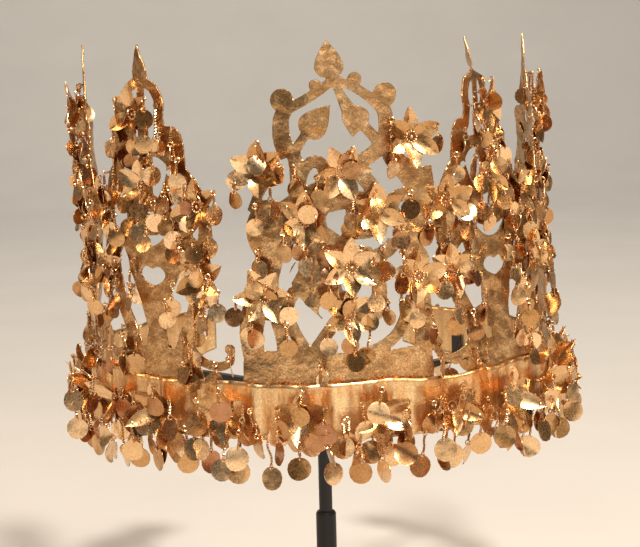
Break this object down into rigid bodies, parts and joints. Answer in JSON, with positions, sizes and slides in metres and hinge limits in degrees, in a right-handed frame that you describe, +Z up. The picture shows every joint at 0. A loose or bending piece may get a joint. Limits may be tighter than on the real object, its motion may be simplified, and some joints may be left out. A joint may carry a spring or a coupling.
{
  "type": "gold crown",
  "caption": "Openwork gold headband with tree-shaped finials, six-petalled rosettes and hanging spangles, on a plain black display stand.",
  "frame": {"origin": "centre of the underside of the display stand's foot, on the crown's vertical axis", "axes": "+Z up; the crown's front faces -Y; +X to the right of a viewer in front of it"},
  "size_m": [0.1972, 0.184, 0.23],
  "materials": {
    "sheet_gold": "beaten gold sheet, lightly scratched",
    "rosette_gold": "thin gold foil and wire, brighter",
    "stand_paint": "satin black paint on steel"
  },
  "bodies": {
    "root": {"display_cradle": "stand_paint", "display_foot": "stand_paint", "display_post": "stand_paint", "front_tree": "sheet_gold", "front_tree_rosette_1": "rosette_gold", "front_tree_rosette_2": "rosette_gold", "front_tree_rosette_3": "rosette_gold", "front_tree_rosette_4": "rosette_gold", "front_tree_rosette_5": "rosette_gold", "front_tree_rosette_6": "rosette_gold", "front_tree_rosette_7": "rosette_gold", "front_tree_rosette_8": "rosette_gold", "front_tree_rosette_9": "rosette_gold", "headband": "sheet_gold", "headband_rosette_1": "rosette_gold", "headband_rosette_10": "rosette_gold", "headband_rosette_11": "rosette_gold", "headband_rosette_12": "rosette_gold", "headband_rosette_13": "rosette_gold", "headband_rosette_14": "rosette_gold", "headband_rosette_15": "rosette_gold", "headband_rosette_16": "rosette_gold", "headband_rosette_17": "rosette_gold", "headband_rosette_18": "rosette_gold", "headband_rosette_2": "rosette_gold", "headband_rosette_3": "rosette_gold", "headband_rosette_4": "rosette_gold", "headband_rosette_5": "rosette_gold", "headband_rosette_6": "rosette_gold", "headband_rosette_7": "rosette_gold", "headband_rosette_8": "rosette_gold", "headband_rosette_9": "rosette_gold", "left_front_tree": "sheet_gold", "left_front_tree_rosette_1": "rosette_gold", "left_front_tree_rosette_2": "rosette_gold", "left_front_tree_rosette_3": "rosette_gold", "left_front_tree_rosette_4": "rosette_gold", "left_front_tree_rosette_5": "rosette_gold", "left_front_tree_rosette_6": "rosette_gold", "left_rear_tree": "sheet_gold", "left_rear_tree_rosette_1": "rosette_gold", "left_rear_tree_rosette_2": "rosette_gold", "left_rear_tree_rosette_3": "rosette_gold", "left_rear_tree_rosette_4": "rosette_gold", "left_rear_tree_rosette_5": "rosette_gold", "left_rear_tree_rosette_6": "rosette_gold", "right_front_tree": "sheet_gold", "right_front_tree_rosette_1": "rosette_gold", "right_front_tree_rosette_2": "rosette_gold", "right_front_tree_rosette_3": "rosette_gold", "right_front_tree_rosette_4": "rosette_gold", "right_front_tree_rosette_5": "rosette_gold", "right_front_tree_rosette_6": "rosette_gold", "right_rear_tree": "sheet_gold", "right_rear_tree_rosette_1": "rosette_gold", "right_rear_tree_rosette_2": "rosette_gold", "right_rear_tree_rosette_3": "rosette_gold", "right_rear_tree_rosette_4": "rosette_gold", "right_rear_tree_rosette_5": "rosette_gold", "right_rear_tree_rosette_6": "rosette_gold"}
  },
  "joints": []
}
